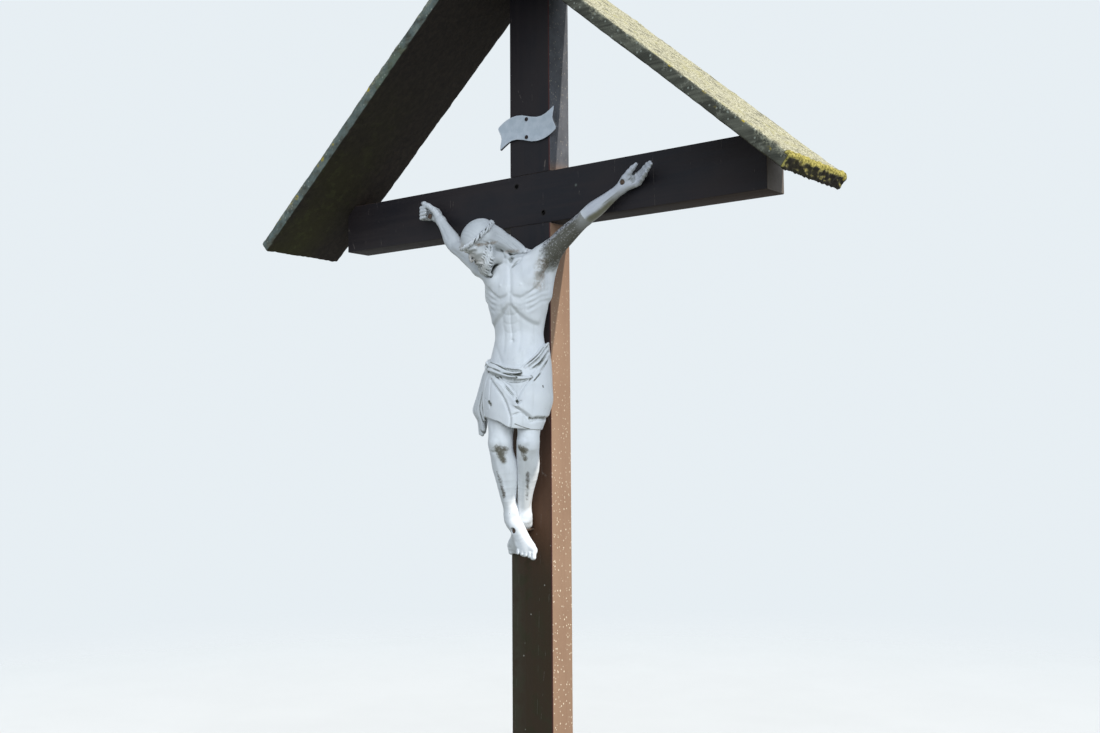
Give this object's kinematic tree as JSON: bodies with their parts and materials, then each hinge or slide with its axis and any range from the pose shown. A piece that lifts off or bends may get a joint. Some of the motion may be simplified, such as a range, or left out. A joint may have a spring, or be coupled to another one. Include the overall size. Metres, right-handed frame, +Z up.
{
  "type": "wayside shrine with a roofed timber cross",
  "caption": "Tall painted timber cross with a white cast corpus, a waved title scroll and a steep gabled board roof.",
  "frame": {"origin": "centre of the post's foot, at ground level", "axes": "+Z up along the post; the front and the figure look along -Y; +X is to the viewer's right"},
  "size_m": [2.2812, 0.3707, 3.3892],
  "materials": {
    "timber_paint": "dark brown paint, weathered",
    "roof_boards": "bare timber, grey, with lichen and moss",
    "white_paint": "white paint, chipped and grimy",
    "plate_enamel": "white enamel with a dark edge",
    "iron": "rusty nails",
    "screws": "blackened screws"
  },
  "bodies": {
    "root": {"post": "timber_paint", "crossbeam": "timber_paint", "lap_screw_upper": "screws", "lap_screw_lower": "screws", "roof_board_left": "roof_boards", "roof_board_right": "roof_boards", "title_plate": "plate_enamel", "plate_screw_upper": "screws", "plate_screw_lower": "screws", "figure_head": "white_paint", "crown_of_thorns": "white_paint", "figure_torso": "white_paint", "figure_arm_right": "white_paint", "figure_arm_left": "white_paint", "loincloth": "white_paint", "figure_leg_right": "white_paint", "figure_leg_left": "white_paint", "hand_nail_right": "iron", "hand_nail_left": "iron", "feet_nail": "iron"}
  },
  "joints": []
}
